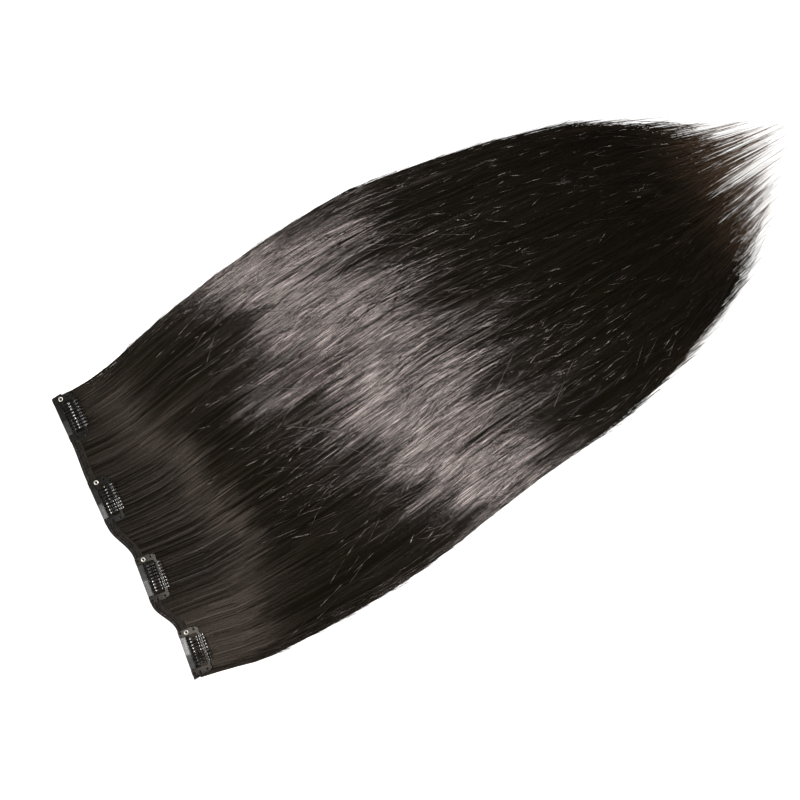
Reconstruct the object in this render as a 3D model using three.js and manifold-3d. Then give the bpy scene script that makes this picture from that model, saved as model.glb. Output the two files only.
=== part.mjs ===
// One clip-in hair extension: a weft of straight hair, sewn into a stiff head band with four snap clips.
// Units are millimetres. The hair lies flat on z = 0 and runs along +X from root to tips. The band runs along Y.
import * as THREE from 'three';
import { mergeVertices } from 'three/addons/utils/BufferGeometryUtils.js';
import Module from 'manifold-3d';

const wasm = await Module();
wasm.setup();

const GAP = 0.3;
const WELD = 1e-4;
const DEGREE = Math.PI / 180;

// Snap clips along the band: where the middle of each root edge lies, and how far the band turns there.
const CLIPS = [
  { y: 90, x: 5.2, turn: 7.2 },
  { y: 30, x: -3.8, turn: 7.4 },
  { y: -30, x: -4.8, turn: 11.0 },
  { y: -86.5, x: -6.0, turn: 12.0 },
];

// Clip sizes. Across is measured from the root edge towards the tips, along is measured on the band.
const CLIP_LENGTH = 32;
const CLIP_HALF = CLIP_LENGTH / 2;
const SHEET = 0.7;
const PLATE_LENGTH = 4.6;
const PLATE_INNER = CLIP_HALF - PLATE_LENGTH;
const PLATE_CORNER = 1.0;
const PLATE_STRAIGHT = 9.6;
const ARM_START = 9.0;
const ARM_OUTER_CURVES = [
  { pullAcross: 14.6, pullAlong: 15.6, across: 14.3, along: 13.0 },
  { pullAcross: 13.5, pullAlong: 12.0, across: 14.4, along: 10.2 },
];
const ARM_INNER_CURVE = { pullAcross: 12.4, pullAlong: 12.0, across: 12.4, along: 10.2 };
const SEWING_HOLE_RADIUS = 0.75;
const SEWING_HOLES = [
  { across: 1.7, along: 14.3 },
  { across: 11.0, along: 14.0 },
];
const EYELET_ACROSS = 5.8;
const EYELET_ALONG = 13.7;
const NOTCH_WIDTH = 1.2;
const NOTCH_DEPTH = 2.4;
const HOLE_SEGMENTS = 8;
const CURVE_SEGMENTS = 4;

// Comb: a creased spine between the end plates and nine wavy teeth.
const TEETH = 9;
const TOOTH_PITCH = 2.2;
const TOOTH_WIDTH = 1.1;
const TOOTH_SHEET = 0.5;
const SPINE_SHEET = 0.6;
const SPINE_LENGTH = 2 * (PLATE_INNER - GAP);
const CREASE_ALONG = -0.5;
const CREASE_RISE = 0.45;
const SPINE_LINE = [
  { across: 0.1, up: 0.64 },
  { across: 4.2, up: 1.6 },
];
const TOOTH_LINE = [
  { across: 3.4, up: 1.32 },
  { across: 7.3, up: 2.52 },
  { across: 8.8, up: 2.4 },
  { across: 11.0, up: 1.75 },
  { across: 13.6, up: 2.45 },
  { across: 15.2, up: 1.75 },
  { across: 16.8, up: 2.1 },
];

// Eyelet rivet: a tube through the plate with a rolled flange on top.
const EYELET_SEGMENTS = 12;
const EYELET_HOLE = 1.3;
const EYELET_PROFILE = [
  { radius: 0.72, up: 0.05 },
  { radius: 1.0, up: 0.05 },
  { radius: 1.0, up: 1.0 },
  { radius: 1.6, up: 1.0 },
  { radius: 1.65, up: 1.25 },
  { radius: 1.3, up: 1.5 },
  { radius: 0.95, up: 1.48 },
  { radius: 0.72, up: 1.2 },
];

// Head band: a sewn strip with three seam ridges on its upper side.
const BAND_WIDTH = 7;
const BAND_BODY = 2.0;
const BAND_EDGE = 0.6;
const SEAM_RISE = 0.4;
const SEAM_HALF = 0.8;
const SEAM_CREST = 0.35;
const SEAM_ROWS = [1.4, 3.5, 5.6];
const BAND_TOP = BAND_BODY + SEAM_RISE;
const SEAT_HALF = CLIP_HALF + 0.4;
const BAND_TAIL = 2;
const BEND_STEPS = 5;

// Hair: edges of the flowing lock at each distance from the root, and the height of its crest there.
const HAIR_SECTIONS = [
  { from: 0, low: -105, high: 105.5, crest: 2.1 },
  { from: 20, low: -110, high: 104, crest: 2.35 },
  { from: 45, low: -117, high: 106, crest: 5.0 },
  { from: 75, low: -120, high: 112, crest: 7.6 },
  { from: 110, low: -122, high: 117, crest: 9.4 },
  { from: 150, low: -122.5, high: 121, crest: 10.7 },
  { from: 195, low: -119, high: 122.5, crest: 11.2 },
  { from: 235, low: -113.5, high: 121.5, crest: 10.8 },
  { from: 280, low: -109.5, high: 114, crest: 9.6 },
  { from: 330, low: -106.5, high: 103, crest: 7.9 },
  { from: 370, low: -98, high: 92, crest: 6.5 },
  { from: 410, low: -89, high: 77, crest: 5.1 },
  { from: 450, low: -69, high: 53, crest: 3.8 },
  { from: 490, low: -41, high: 25, crest: 2.6 },
  { from: 512, low: -28, high: 13, crest: 2.0 },
];
const LOCKS = 17;
const LOCK_OVERLAP = 1.75;
const LOCK_STEPS = 17;
const LOCK_CROWDING = 0.055;
const LOCK_REACH = 506;
const LONGEST_LOCK = 0.25;
const LOCK_EDGE_LOSS = 50;
const LOCK_EDGE_POWER = 1.7;
const LOCK_RAGGED = 9;
const RAGGED_PHASE = 7.2;
const LOCK_WANDER = 0.018;
const LOCK_WANDER_LENGTH = 240;
const LOCK_PHASE = 2.4;
const LOCK_HEIGHT_SPREAD = 0.1;
const HEIGHT_PHASE = 4.8;
const LEVEL_ROOT = 60;
const EDGE_HEIGHT = 0.5;
const TAPER_FROM = 0.885;
const TIP_WIDTH = 0.14;
const TIP_HEIGHT = 0.45;
const LOCK_SECTION = [
  { side: -1, up: 0 },
  { side: 1, up: 0 },
  { side: 0.84, up: 0.52 },
  { side: 0.45, up: 0.9 },
  { side: 0, up: 1 },
  { side: -0.45, up: 0.9 },
  { side: -0.84, up: 0.52 },
];

const { clamp, lerp, smoothstep } = THREE.MathUtils;

// Smooth reading of one column of a table at any place along its rows.
function column(rows, place, name) {
  const places = rows.map((row) => row[place]);
  const values = rows.map((row) => row[name]);
  const reader = new THREE.CubicInterpolant(places, values, 1);
  return (at) => reader.evaluate(at)[0];
}

// Closed solid of a geometry, ready to be fused.
function toSolid(geometry) {
  const bare = new THREE.BufferGeometry();
  bare.setAttribute('position', geometry.getAttribute('position'));
  bare.setIndex(geometry.getIndex());
  const welded = mergeVertices(bare, WELD);
  return new wasm.Manifold(new wasm.Mesh({
    numProp: 3,
    vertProperties: new Float32Array(welded.getAttribute('position').array),
    triVerts: new Uint32Array(welded.getIndex().array),
  }));
}

function fromSolid(solid) {
  const mesh = solid.getMesh();
  const geometry = new THREE.BufferGeometry();
  geometry.setAttribute('position', new THREE.BufferAttribute(new Float32Array(mesh.vertProperties), 3));
  geometry.setIndex(new THREE.BufferAttribute(new Uint32Array(mesh.triVerts), 1));
  geometry.computeVertexNormals();
  return geometry;
}

function fuse(geometries) {
  return fromSolid(geometries.map(toSolid).reduce((whole, piece) => whole.add(piece)));
}

// Every point of a geometry carried to a new place.
function carry(geometry, place) {
  const points = geometry.getAttribute('position');
  const point = new THREE.Vector3();
  for (let i = 0; i < points.count; i += 1) {
    place(point.fromBufferAttribute(points, i));
    points.setXYZ(i, point.x, point.y, point.z);
  }
  geometry.computeVertexNormals();
  return geometry;
}

function polygon(points) {
  return new THREE.Shape(points.map(([x, y]) => new THREE.Vector2(x, y)));
}

function extrude(shape, depth, steps = 1) {
  const settings = { depth, steps, bevelEnabled: false, curveSegments: CURVE_SEGMENTS };
  return new THREE.ExtrudeGeometry(shape, settings);
}

// Root line: straight along each clip's seat and a smooth bend between two seats.
const SEATS = CLIPS.map((clip) => {
  const slope = Math.tan(clip.turn * DEGREE);
  const reach = SEAT_HALF * Math.cos(clip.turn * DEGREE);
  const tail = clip === CLIPS[CLIPS.length - 1] ? BAND_TAIL : 0;
  return { ...clip, slope, top: clip.y + reach, bottom: clip.y - reach - tail };
});

function rootLine(y) {
  let above = SEATS[0];
  for (const seat of SEATS) {
    if (y > seat.top && seat !== SEATS[0]) return bend(above, seat, y);
    if (y >= seat.bottom) return seat.x + (y - seat.y) * seat.slope;
    above = seat;
  }
  return above.x + (y - above.y) * above.slope;
}

// Cubic bend from the lower end of one seat to the upper end of the next.
function bend(above, below, y) {
  const span = below.top - above.bottom;
  const t = (y - above.bottom) / span;
  const start = above.x + (above.bottom - above.y) * above.slope;
  const end = below.x + (below.top - below.y) * below.slope;
  const a = above.slope * span;
  const b = below.slope * span;
  return start + a * t + (3 * (end - start) - 2 * a - b) * t ** 2 + (a + b - 2 * (end - start)) * t ** 3;
}

// Upright section carried along the root line, over the seats and round the bends between them.
function alongRoot(corners) {
  const stations = [];
  SEATS.forEach((seat, i) => {
    stations.push(seat.top, seat.bottom);
    const next = SEATS[i + 1];
    if (!next) return;
    for (let k = 1; k < BEND_STEPS; k += 1) {
      stations.push(seat.bottom + (next.top - seat.bottom) * k / BEND_STEPS);
    }
  });
  const steps = stations.length - 1;
  return carry(extrude(polygon(corners), steps, steps), (point) => {
    const y = stations[Math.round(point.z)];
    point.set(rootLine(y) + point.x, y, point.y);
  });
}

function bandGeometry() {
  const seams = SEAM_ROWS.flatMap((row) => [
    [row - SEAM_HALF, BAND_BODY],
    [row - SEAM_CREST, BAND_TOP],
    [row + SEAM_CREST, BAND_TOP],
    [row + SEAM_HALF, BAND_BODY],
  ]).reverse();
  return alongRoot([
    [BAND_EDGE, 0],
    [BAND_WIDTH, 0],
    [BAND_WIDTH, BAND_BODY - BAND_EDGE],
    ...seams,
    [0, BAND_BODY - BAND_EDGE],
    [0, BAND_EDGE],
  ]);
}

// Room that the band takes out of the root end of the hair.
function bandRoom() {
  return alongRoot([
    [-BAND_WIDTH, -BAND_WIDTH],
    [BAND_WIDTH + GAP, -BAND_WIDTH],
    [BAND_WIDTH + GAP, BAND_WIDTH],
    [-BAND_WIDTH, BAND_WIDTH],
  ]);
}

// One lock of hair: a flat-bottomed section carried along its flow line, narrowing to a thin tip.
const flowLow = column(HAIR_SECTIONS, 'from', 'low');
const flowHigh = column(HAIR_SECTIONS, 'from', 'high');
const flowCrest = column(HAIR_SECTIONS, 'from', 'crest');

function lockGeometry(index) {
  const middle = -1 + (2 * index + 1) / LOCKS;
  const phase = index * LOCK_PHASE;
  const edgeLoss = LOCK_EDGE_LOSS * Math.abs(middle - LONGEST_LOCK) ** LOCK_EDGE_POWER;
  const reach = LOCK_REACH - edgeLoss + LOCK_RAGGED * Math.sin(index * RAGGED_PHASE);
  const tallness = 1 + LOCK_HEIGHT_SPREAD * Math.sin(index * HEIGHT_PHASE);
  const section = polygon(LOCK_SECTION.map((corner) => [corner.side, corner.up]));
  return carry(extrude(section, 1, LOCK_STEPS), (point) => {
    const [side, up, share] = point.toArray();
    const run = share - LOCK_CROWDING * Math.sin(2 * Math.PI * share);
    const thin = smoothstep(run, TAPER_FROM, 1);
    const from = run * reach;
    const wander = LOCK_WANDER * Math.sin(2 * Math.PI * from / LOCK_WANDER_LENGTH + phase) * run;
    const half = LOCK_OVERLAP / LOCKS * lerp(1, TIP_WIDTH, thin);
    const flow = clamp(middle + wander + side * half, -1, 1);
    const low = flowLow(from);
    const high = flowHigh(from);
    const y = (low + high) / 2 + flow * (high - low) / 2;
    const root = rootLine(y) + BAND_WIDTH / 2;
    const fullness = 1 - (1 - EDGE_HEIGHT) * middle ** 2;
    const levelling = smoothstep(from, 0, LEVEL_ROOT);
    const height = flowCrest(from) * lerp(1, fullness * tallness, levelling);
    const x = root * (1 - run) + reach * run;
    point.set(x, y, up * height * lerp(1, TIP_HEIGHT, thin));
  });
}

function hairGeometry() {
  const locks = Array.from({ length: LOCKS }, (_, index) => toSolid(lockGeometry(index)));
  const whole = locks.reduce((sum, lock) => sum.add(lock));
  return fromSolid(whole.subtract(toSolid(bandRoom())));
}

// Clip frame: two end plates, the curved arms and the bar, cut from one flat sheet.
function frameGeometry() {
  const outer = [];
  const inner = [];
  for (const end of [1, -1]) {
    const edge = new THREE.Path();
    edge.moveTo(0, end * PLATE_INNER);
    edge.lineTo(0, end * (CLIP_HALF - PLATE_CORNER));
    edge.quadraticCurveTo(0, end * CLIP_HALF, PLATE_CORNER, end * CLIP_HALF);
    if (end < 0) {
      edge.lineTo(EYELET_ACROSS - NOTCH_WIDTH / 2, -CLIP_HALF);
      edge.lineTo(EYELET_ACROSS - NOTCH_WIDTH / 2, -CLIP_HALF + NOTCH_DEPTH);
      edge.lineTo(EYELET_ACROSS + NOTCH_WIDTH / 2, -CLIP_HALF + NOTCH_DEPTH);
      edge.lineTo(EYELET_ACROSS + NOTCH_WIDTH / 2, -CLIP_HALF);
    }
    edge.lineTo(PLATE_STRAIGHT, end * CLIP_HALF);
    for (const curve of ARM_OUTER_CURVES) curveTo(edge, curve, end);
    const seat = new THREE.Path();
    seat.moveTo(0, end * PLATE_INNER);
    seat.lineTo(ARM_START, end * PLATE_INNER);
    curveTo(seat, ARM_INNER_CURVE, end);
    const edgePoints = edge.getPoints(CURVE_SEGMENTS);
    const seatPoints = seat.getPoints(CURVE_SEGMENTS).slice(1);
    outer.push(...(end > 0 ? edgePoints : edgePoints.reverse()));
    inner.unshift(...(end > 0 ? seatPoints.reverse() : seatPoints));
  }
  const shape = new THREE.Shape([...outer, ...inner]);
  for (const end of [1, -1]) {
    for (const hole of SEWING_HOLES) {
      shape.holes.push(roundHole(hole.across, end * hole.along, SEWING_HOLE_RADIUS));
    }
  }
  shape.holes.push(roundHole(EYELET_ACROSS, EYELET_ALONG, EYELET_HOLE));
  return extrude(shape, SHEET);
}

function curveTo(path, curve, end) {
  path.quadraticCurveTo(curve.pullAcross, end * curve.pullAlong, curve.across, end * curve.along);
}

function roundHole(across, along, radius) {
  const points = Array.from({ length: HOLE_SEGMENTS }, (_, k) => {
    const angle = 2 * Math.PI * k / HOLE_SEGMENTS;
    return new THREE.Vector2(across + radius * Math.cos(angle), along + radius * Math.sin(angle));
  });
  return new THREE.Path(points);
}

// Strip of sheet metal that follows a side line, as wide as asked, centred on its place along the clip.
function strip(line, sheet, width, along, steps) {
  const points = line.map((row) => new THREE.Vector2(row.across, row.up));
  const lower = points.map((point, i) => {
    const ahead = points[Math.min(i + 1, points.length - 1)];
    const behind = points[Math.max(i - 1, 0)];
    const run = ahead.clone().sub(behind).normalize();
    return [point.x + run.y * sheet, point.y - run.x * sheet];
  });
  const section = polygon([...lower, ...points.map((point) => [point.x, point.y]).reverse()]);
  const reach = SPINE_LENGTH / 2 + Math.abs(CREASE_ALONG);
  return carry(extrude(section, width, steps), (point) => {
    let place = along + width / 2 - point.z;
    if (steps > 1 && Math.abs(place - along) < WELD) place = CREASE_ALONG;
    const rise = CREASE_RISE * (1 - Math.abs(place - CREASE_ALONG) / reach);
    point.set(point.x, place, point.y + rise);
  });
}

function combGeometry() {
  const spine = strip(SPINE_LINE, SPINE_SHEET, SPINE_LENGTH, 0, 2);
  const teeth = Array.from({ length: TEETH }, (_, k) => {
    return strip(TOOTH_LINE, TOOTH_SHEET, TOOTH_WIDTH, (k - (TEETH - 1) / 2) * TOOTH_PITCH, 1);
  });
  return fuse([spine, ...teeth]);
}

function eyeletGeometry() {
  const profile = EYELET_PROFILE.map((row) => new THREE.Vector2(row.radius, row.up));
  const ring = new THREE.LatheGeometry([...profile, profile[0].clone()], EYELET_SEGMENTS);
  return ring.rotateX(Math.PI / 2).translate(EYELET_ACROSS, EYELET_ALONG, 0);
}

// Clip pieces are drawn with their root edge on the origin, then laid on the band.
function onBand(geometry, clip) {
  const turned = geometry.rotateZ(-clip.turn * DEGREE);
  return turned.translate(clip.x, clip.y, BAND_TOP + GAP);
}

const FINISHES = {
  hair: { color: 0x17130f, roughness: 0.42, metalness: 0 },
  band: { color: 0x14110f, roughness: 0.8, metalness: 0 },
  enamel: { color: 0x0c0c0d, roughness: 0.25, metalness: 0.3 },
  nickel: { color: 0xc9c5ba, roughness: 0.25, metalness: 1 },
};

const group = new THREE.Group();
group.name = 'hair_extension';

function add(name, geometry, finish) {
  const mesh = new THREE.Mesh(geometry, new THREE.MeshStandardMaterial(FINISHES[finish]));
  mesh.name = name;
  group.add(mesh);
}

add('hair', hairGeometry(), 'hair');
add('weft_band', bandGeometry(), 'band');
CLIPS.forEach((clip, i) => {
  add(`clip_${i + 1}_frame`, onBand(frameGeometry(), clip), 'enamel');
  add(`clip_${i + 1}_comb`, onBand(combGeometry(), clip), 'enamel');
  add(`clip_${i + 1}_eyelet`, onBand(eyeletGeometry(), clip), 'nickel');
});

// The origin lies under the middle of the whole weft.
const box = new THREE.Box3().setFromObject(group);
const middle = box.getCenter(new THREE.Vector3());
for (const mesh of group.children) mesh.geometry.translate(-middle.x, -middle.y, -box.min.z);

export default group;
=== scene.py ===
import math

import bmesh
import bpy
import numpy as np
from mathutils import Matrix, Vector


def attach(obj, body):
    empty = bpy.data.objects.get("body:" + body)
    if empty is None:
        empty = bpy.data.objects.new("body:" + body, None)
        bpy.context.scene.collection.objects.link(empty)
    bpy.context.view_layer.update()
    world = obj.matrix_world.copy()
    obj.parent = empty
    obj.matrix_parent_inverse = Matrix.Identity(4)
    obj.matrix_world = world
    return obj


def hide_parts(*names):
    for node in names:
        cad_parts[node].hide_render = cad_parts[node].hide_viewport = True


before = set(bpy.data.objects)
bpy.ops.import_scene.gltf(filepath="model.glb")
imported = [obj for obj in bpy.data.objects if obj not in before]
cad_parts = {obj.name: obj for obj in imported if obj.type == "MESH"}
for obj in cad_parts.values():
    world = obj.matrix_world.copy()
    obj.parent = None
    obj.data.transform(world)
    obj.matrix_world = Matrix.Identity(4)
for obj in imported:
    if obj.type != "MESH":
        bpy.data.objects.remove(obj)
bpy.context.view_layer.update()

# Camera: the weft lies on a table and is seen from straight above, turned so that the hair runs up to the
# right. The width of the view and the place under its middle follow from the length of a clip in the picture.
MM = 0.001
VIEW_WIDTH = 536 * MM
VIEW_MIDDLE = Vector((-45.3, -16.6, 4.0)) * MM
VIEW_TURN = math.radians(-31.6)
VIEW_LENS = 100.0
VIEW_SENSOR = 36.0
view_height = VIEW_WIDTH * VIEW_LENS / VIEW_SENSOR
camera = bpy.data.objects.new("camera", bpy.data.cameras.new("camera"))
camera.data.lens = VIEW_LENS
camera.data.sensor_width = VIEW_SENSOR
camera.location = VIEW_MIDDLE + Vector((0, 0, view_height))
camera.rotation_euler = (0, 0, VIEW_TURN)
bpy.context.scene.collection.objects.link(camera)
bpy.context.scene.camera = camera
bpy.context.scene.view_settings.view_transform = "Standard"

# Light: a narrow soft box hangs over the middle of the hair and draws the satin band across it. A dim short
# one over the root gives a faint sheen there, and a square one off the root end glints on the clips.
# A dim sky keeps the rest near black.
LIGHTS = [
    # name, place, size along and across, turn about the upright, aimed at, power, colour
    ("band_light", (-44, -2, 270), (520, 20), -69.9, (-44, -2, 0), 1.1, (1.0, 0.96, 0.95)),
    ("root_light", (-262, -45, 270), (150, 40), 81.0, (-262, -45, 0), 0.06, (1.0, 0.88, 0.76)),
    ("clip_light", (-710, -20, 900), (150, 150), 0.0, (-250, 0, 0), 3.6, (1.0, 0.99, 0.96)),
]
for name, place, size, turn, target, power, colour in LIGHTS:
    light = bpy.data.objects.new(name, bpy.data.lights.new(name, "AREA"))
    light.data.shape = "RECTANGLE"
    light.data.size = size[0] * MM
    light.data.size_y = size[1] * MM
    light.data.energy = power
    light.data.color = colour
    light.location = Vector(place) * MM
    aim = (Vector(target) * MM - light.location).to_track_quat("-Z", "Y")
    light.rotation_euler = (Matrix.Rotation(math.radians(turn), 3, "Z") @ aim.to_matrix()).to_euler()
    light.visible_camera = False
    bpy.context.scene.collection.objects.link(light)
SKY = (0.84, 0.80, 0.66, 1.0)
SKY_STRENGTH = 0.1
sky = bpy.data.worlds.new("sky")
sky.use_nodes = True
sky.node_tree.nodes["Background"].inputs["Color"].default_value = SKY
sky.node_tree.nodes["Background"].inputs["Strength"].default_value = SKY_STRENGTH
bpy.context.scene.world = sky


# Table: a plain board, painted matt white, that the hair lies on.
# It is lit evenly from within, so that it stays white all over and the hair's shadow is faint.
class Shade:
    """One value of a material: a node's output that Python sums and products can be written with."""

    MIX_FACTOR = 0  # sockets of a Mix node for colours
    MIX_FIRST = 6
    MIX_SECOND = 7
    MIX_RESULT = 2

    def __init__(self, tree, output=None):
        self.tree = tree
        self.output = output

    def make(self, kind, settings, sockets, output=0):
        """Any node, from its type, its settings and what its sockets hold or are linked to."""
        node = self.tree.nodes.new("ShaderNode" + kind)
        for name, value in settings.items():
            setattr(node, name, value)
        self.feed(node, sockets)
        return Shade(self.tree, node.outputs[output])

    def feed(self, node, sockets):
        """Sets or links the sockets of a node."""
        for key, value in sockets.items():
            if isinstance(value, Shade):
                self.tree.links.new(value.output, node.inputs[key])
            else:
                node.inputs[key].default_value = value

    def maths(self, operation, *values):
        return self.make("Math", {"operation": operation}, dict(enumerate(values)))

    def mix(self, factor, first, second):
        """Colour between two colours."""
        sockets = {self.MIX_FACTOR: factor, self.MIX_FIRST: first, self.MIX_SECOND: second}
        return self.make("Mix", {"data_type": "RGBA"}, sockets, self.MIX_RESULT)

    def __add__(self, other):
        return self.maths("ADD", self, other)

    def __sub__(self, other):
        return self.maths("SUBTRACT", self, other)

    def __rsub__(self, other):
        return self.maths("SUBTRACT", other, self)

    def __mul__(self, other):
        return self.maths("MULTIPLY", self, other)

    __radd__ = __add__
    __rmul__ = __mul__


def new_finish(name):
    """A new material, its shader node and a start for its values."""
    finish = bpy.data.materials.new(name)
    finish.use_nodes = True
    return finish, finish.node_tree.nodes["Principled BSDF"], Shade(finish.node_tree)


def new_object(name, mesh, finish):
    piece = bpy.data.objects.new(name, mesh)
    mesh.materials.append(finish)
    bpy.context.scene.collection.objects.link(piece)
    return piece


def to_mesh(bm, name):
    """Turns a finished bmesh into a mesh."""
    mesh = bpy.data.meshes.new(name)
    bm.to_mesh(mesh)
    bm.free()
    return mesh


TABLE_HALF = 4.0
TABLE_WHITE = (0.86, 0.86, 0.86, 1.0)
TABLE_LIGHT = (1.0, 1.0, 1.0, 1.0)
TABLE_GLOW = 0.8
white_board, shader, start = new_finish("white_board")
start.feed(shader, {"Base Color": TABLE_WHITE, "Roughness": 0.7, "Specular IOR Level": 0.1})
start.feed(shader, {"Emission Color": TABLE_LIGHT, "Emission Strength": TABLE_GLOW})
white_board.cycles.emission_sampling = "NONE"
bm = bmesh.new()
bmesh.ops.create_grid(bm, x_segments=1, y_segments=1, size=TABLE_HALF)
new_object("table", to_mesh(bm, "table"), white_board)

# Hair, body: straight off-black hair, a dense lock that leaves the band flat, thickens and narrows to thin
# tips. The body is the hidden inside of that lock, a third lower than its surface, and ragged fingers of it
# end short of the tips. Sizes are in millimetres, and places across the lock go from -1 to 1.
SHIFT = np.array([-251.429, 0.119])  # from the band's own x and y to the model's frame
CLIPS = [
    # y and x of the middle of the root edge, turn in degrees
    (90.0, 5.2, 7.2),
    (30.0, -3.8, 7.4),
    (-30.0, -4.8, 11.0),
    (-86.5, -6.0, 12.0),
]
SEAT_HALF = 16.4
BAND_WIDTH = 7.0
BAND_TAIL = 2.0
FLOW = np.array([
    # distance from the root, lower edge, upper edge, height of the crest
    (0, -105, 105.5, 2.1),
    (20, -110, 104, 2.35),
    (45, -117, 106, 5.0),
    (75, -120, 112, 7.6),
    (110, -122, 117, 9.4),
    (150, -122.5, 121, 10.7),
    (195, -119, 122.5, 11.2),
    (235, -113.5, 121.5, 10.8),
    (280, -109.5, 114, 9.6),
    (330, -106.5, 103, 7.9),
    (370, -98, 92, 6.5),
    (410, -89, 77, 5.1),
    (450, -69, 53, 3.8),
    (490, -41, 25, 2.6),
    (512, -28, 13, 2.0),
])
LONGEST = 506.0
POINT_AT = 0.14  # place across the lock of its longest hair
SIDE_LOSS = 50.0
SIDE_LOSS_POWER = 1.7
TIPS_FROM = 300.0
TIPS_NARROW = 0.72
TIPS_LEAN = 0.1
FRINGE = 75.0
FRINGE_SIDE_LOSS = 0.45
FRINGE_SIDES = (0.2, 0.8)
LEVEL_ROOT = 60.0
EDGE_HEIGHT = 0.5
EDGE_ROUND = 0.14
EDGE_DROP = 0.98
SWELLS = [
    # height, waves across half the lock, length of a wave along it, phase
    (0.9, 0.8, 260.0, 0.4),
    (0.6, -1.7, 180.0, 2.1),
    (0.6, 3.3, 130.0, 4.0),
    (0.45, -5.1, 105.0, 1.2),
    (0.3, 7.3, 95.0, 3.1),
]
DENTS = [
    # height, place across, half width across, distance from the root, half length
    (-1.8, 0.78, 0.26, 205.0, 28.0),
    (1.8, 0.78, 0.26, 258.0, 28.0),
    (-2.4, 0.27, 0.20, 168.0, 48.0),
    (2.4, 0.25, 0.16, 88.0, 30.0),
    (2.4, -0.32, 0.16, 82.0, 28.0),
]
SWELL_FROM = (25, 110)  # distances over which the swells grow to their height
SWELL_THICK = (0.5, 8.0)  # heights of the lock over which they do
BODY_ACROSS = 150
BODY_ALONG = 60
BODY_INSET = 0.985
BODY_SHORT = 0.66
BODY_RAGGED = 4.0
BODY_FINGERS = [
    # share of the raggedness, waves across, phase
    (1.0, 31, 0.0),
    (1.0, 67, 1.3),
    (0.7, 113, 0.4),
]
BODY_DEPTH = 0.66
BODY_TIP = 0.25
BODY_TIP_FROM = 0.8
BODY_START = 3.0
BODY_LEAST = 0.3
BODY_SOLE = 0.05
GROOVE_DEPTH = 0.35
GROOVES = 150
GROOVE_SWAY = 3
GROOVE_SWAY_LENGTH = 90
GROOVE_BUNCHING = 2
GROOVE_BUNCHES = 7
GROOVE_FROM = (20, 90)
RUN_OUT_STEPS = 200


def smooth(value, low, high):
    """Soft step from 0 at a low value to 1 at a high one."""
    t = np.clip((value - low) / (high - low), 0, 1)
    return t * t * (3 - 2 * t)


def curve_through(at, places, values, slopes):
    """Smooth curve through values with given slopes, read at any places. Its end spans run on."""
    i = np.clip(np.searchsorted(places, at) - 1, 0, len(places) - 2)
    span = places[i + 1] - places[i]
    t = (at - places[i]) / span
    rise = values[i + 1] - values[i]
    a = slopes[i] * span
    b = slopes[i + 1] * span
    return values[i] + a * t + (3 * rise - 2 * a - b) * t**2 + (a + b - 2 * rise) * t**3


seat_ends = []
for y, x, turn in reversed(CLIPS):
    slope = math.tan(math.radians(turn))
    half = SEAT_HALF * math.cos(math.radians(turn))
    for end in (y - half, y + half):
        seat_ends.append((end, x + (end - y) * slope, slope))
seat_y, seat_x, seat_slope = np.array(seat_ends).T


def root_line(y):
    """x of the band's root edge, straight under each clip and gently bent between two."""
    return curve_through(y, seat_y, seat_x, seat_slope)


flow_from = FLOW[:, 0]
flow_slopes = np.empty((len(FLOW), 3))
flow_slopes[1:-1] = (FLOW[2:, 1:] - FLOW[:-2, 1:]) / (flow_from[2:] - flow_from[:-2])[:, None]
flow_slopes[0] = (FLOW[1, 1:] - FLOW[0, 1:]) / (flow_from[1] - flow_from[0])
flow_slopes[-1] = (FLOW[-1, 1:] - FLOW[-2, 1:]) / (flow_from[-1] - flow_from[-2])


def lock_across(distance):
    """y of the middle of the lock and its half width at a distance from the root."""
    low = curve_through(distance, flow_from, FLOW[:, 1], flow_slopes[:, 0])
    high = curve_through(distance, flow_from, FLOW[:, 2], flow_slopes[:, 1])
    return (low + high) / 2, (high - low) / 2


def flow_place(flow, distance):
    """x and y in the model's frame, in millimetres, of a place across the lock (-1 to 1) at a distance."""
    middle, half = lock_across(distance)
    y = middle + flow * half
    x = distance + (root_line(y) + BAND_WIDTH / 2) * (1 - distance / LONGEST)
    return x + SHIFT[0], y + SHIFT[1]


def lock_height(flow, distance):
    """Height of the lock's swelling upper surface, rounded down to the table at its two edges."""
    crest = curve_through(distance, flow_from, FLOW[:, 3], flow_slopes[:, 2])
    level = smooth(distance, 0, LEVEL_ROOT)
    fullness = 1 - (1 - EDGE_HEIGHT) * flow**2
    past_edge = np.clip((np.abs(flow) - 1 + EDGE_ROUND) / EDGE_ROUND, 0, 1)
    height = crest * (1 + (fullness - 1) * level) * np.sqrt(1 - EDGE_DROP * past_edge**2)
    swell = np.zeros_like(height)
    for rise, across, length, phase in SWELLS:
        swell = swell + rise * np.sin(2 * np.pi * (across * flow + distance / length) + phase)
    for rise, across, half_width, along, half_length in DENTS:
        off = ((flow - across) / half_width) ** 2 + ((distance - along) / half_length) ** 2
        swell = swell + rise * np.exp(-off)
    return height + swell * smooth(distance, *SWELL_FROM) * smooth(height, *SWELL_THICK)


def run_straight(flow, distance):
    """Place across the lock of a hair that draws in less than the tips narrow and runs out at their edge."""
    middle, half = lock_across(distance)
    full_middle, full_half = lock_across(np.minimum(distance, TIPS_FROM))
    drawn_in = middle + flow * half
    straight = full_middle + flow * full_half
    return (straight + (TIPS_NARROW + TIPS_LEAN * flow) * (drawn_in - straight) - middle) / half


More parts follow.
